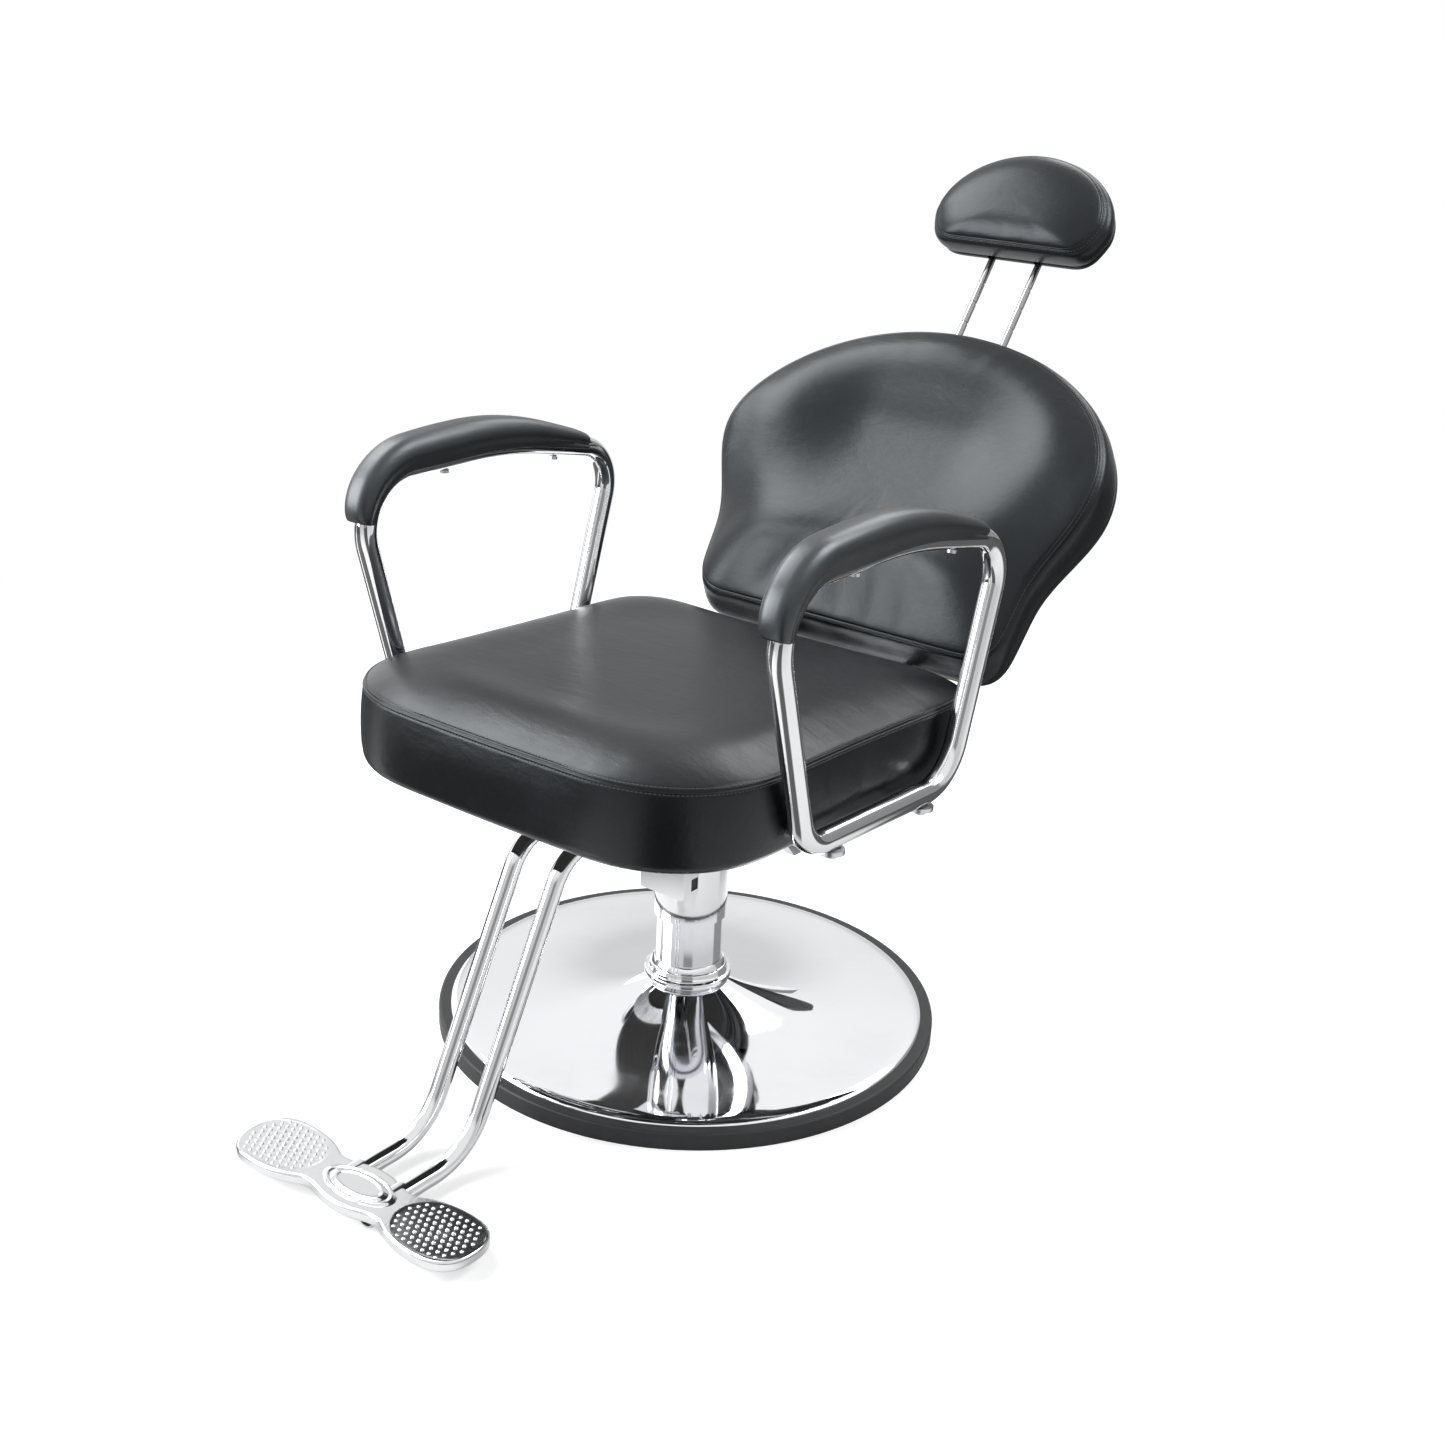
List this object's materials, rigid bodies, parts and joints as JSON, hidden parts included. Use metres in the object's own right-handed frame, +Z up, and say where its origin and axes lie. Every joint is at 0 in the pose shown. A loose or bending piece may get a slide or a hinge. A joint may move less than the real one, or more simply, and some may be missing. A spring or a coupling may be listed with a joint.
{
  "type": "hydraulic barber chair",
  "caption": "Reclining salon chair: round chrome pump base, padded seat on a lift column, tube arms, reclining back with sliding headrest and a bent-tube footrest.",
  "frame": {"origin": "on the swivel axis, at the floor", "axes": "+Z up, the sitter faces -Y, the sitter's left is +X"},
  "size_m": [0.5954, 1.2851, 0.968],
  "materials": {
    "dome_chrome": "polished",
    "rim_rubber": "satin",
    "cast_iron": "painted black",
    "bright_chrome": "polished",
    "tube_chrome": "polished",
    "post_chrome": "polished",
    "machined_steel": "ground",
    "ball_steel": "polished",
    "nylon": "satin",
    "seal_rubber": "matte",
    "zinc_fasteners": "zinc plated",
    "black_plastic": "satin",
    "frame_paint": "satin black",
    "plated_bar": "plated",
    "pedal_steel": "polished",
    "pedal_rubber": "matte",
    "board_wood": "raw plywood",
    "black_vinyl": "semi-gloss grained vinyl",
    "cover_vinyl": "satin grained vinyl",
    "cast_aluminium": "polished"
  },
  "bodies": {
    "base": {"base_dome": "dome_chrome", "base_rim_ring": "rim_rubber", "base_weight": "cast_iron", "base_collar": "bright_chrome", "pump_foot": "machined_steel", "foot_flange_bolts": "zinc_fasteners", "column_sleeve": "bright_chrome", "guide_bush": "nylon", "thrust_race_lower": "machined_steel", "thrust_balls": "ball_steel", "ram_retainer": "machined_steel"},
    "ram": {"ram": "machined_steel", "thrust_race_upper": "machined_steel", "piston_seal": "seal_rubber"},
    "seat_unit": {"pump_cylinder": "machined_steel", "cylinder_gland": "machined_steel", "pump_head": "bright_chrome", "window_plug": "black_plastic", "mounting_plate": "frame_paint", "pump_bolts": "zinc_fasteners", "seat_rails": "frame_paint", "cross_bars": "plated_bar", "seat_board": "board_wood", "seat_cushion": "black_vinyl", "seat_bolts": "zinc_fasteners", "arm_frame_left": "tube_chrome", "arm_frame_right": "tube_chrome", "arm_bolts": "zinc_fasteners", "arm_pad_left": "black_vinyl", "arm_pad_right": "black_vinyl", "arm_pad_screws": "zinc_fasteners", "footrest_bracket": "frame_paint", "footrest_tube_left": "tube_chrome", "footrest_tube_right": "tube_chrome", "footplate": "cast_aluminium", "hinge_brackets": "frame_paint", "hinge_pins": "zinc_fasteners", "lever_brackets": "frame_paint", "strut_rod": "machined_steel", "strut_anchor": "frame_paint", "pedal_pin": "zinc_fasteners", "plunger_spring": "zinc_fasteners"},
    "pedal": {"pedal_arm": "pedal_steel", "pedal_pad": "pedal_rubber"},
    "plunger": {"pump_plunger": "machined_steel"},
    "strut_cylinder": {"strut_cylinder": "frame_paint", "strut_pin": "zinc_fasteners"},
    "lever": {"recline_lever": "pedal_steel", "lever_grip": "black_plastic"},
    "back": {"back_brackets": "frame_paint", "back_board": "board_wood", "back_cushion": "black_vinyl", "back_cover": "cover_vinyl", "back_screws": "zinc_fasteners", "post_guides": "black_plastic"},
    "headrest": {"headrest_posts": "post_chrome", "headrest_board": "board_wood", "headrest_cushion": "black_vinyl", "headrest_cover": "cover_vinyl", "headrest_clamp": "frame_paint"}
  },
  "joints": [
    {"name": "seat_swivel", "type": "hinge", "parent": "base", "child": "ram", "pos_m": [0, 0, 0], "axis": [0, 0, 1], "continuous": true},
    {"name": "seat_lift", "type": "slide", "parent": "ram", "child": "seat_unit", "axis": [0, 0, 1], "range_m": [0, 0.14]},
    {"name": "pump_pedal", "type": "hinge", "parent": "seat_unit", "child": "pedal", "pos_m": [0, -0.044, 0.29], "axis": [-1, 0, 0], "range_deg": [0, 12], "stiffness_Nm_per_rad": 9, "springref_deg": -28.65},
    {"name": "plunger_slide", "type": "slide", "parent": "seat_unit", "child": "plunger", "axis": [0, 0, -1], "range_m": [0, 0.0116], "deforming": ["plunger_spring"]},
    {"name": "back_recline", "type": "hinge", "parent": "seat_unit", "child": "back", "pos_m": [0, 0.23, 0.348], "axis": [-1, 0, 0], "range_deg": [-20, 15]},
    {"name": "strut_slide", "type": "slide", "parent": "seat_unit", "child": "strut_cylinder", "axis": [0, 0.9981, 0.062], "range_m": [-0.0112, 0.0145]},
    {"name": "recline_lever", "type": "hinge", "parent": "seat_unit", "child": "lever", "pos_m": [0, -0.086, 0.29], "axis": [-1, 0, 0], "range_deg": [0, 20], "stiffness_Nm_per_rad": 1.2, "springref_deg": -28.65},
    {"name": "headrest_slide", "type": "slide", "parent": "back", "child": "headrest", "axis": [0, 0.6018, 0.7986], "range_m": [-0.09, 0.06]}
  ],
  "couplings": [
    {"joint": "plunger_slide", "follows": "pump_pedal", "m_per_rad": 0.053},
    {"joint": "strut_slide", "follows": "back_recline", "m_per_rad": -0.03925}
  ]
}
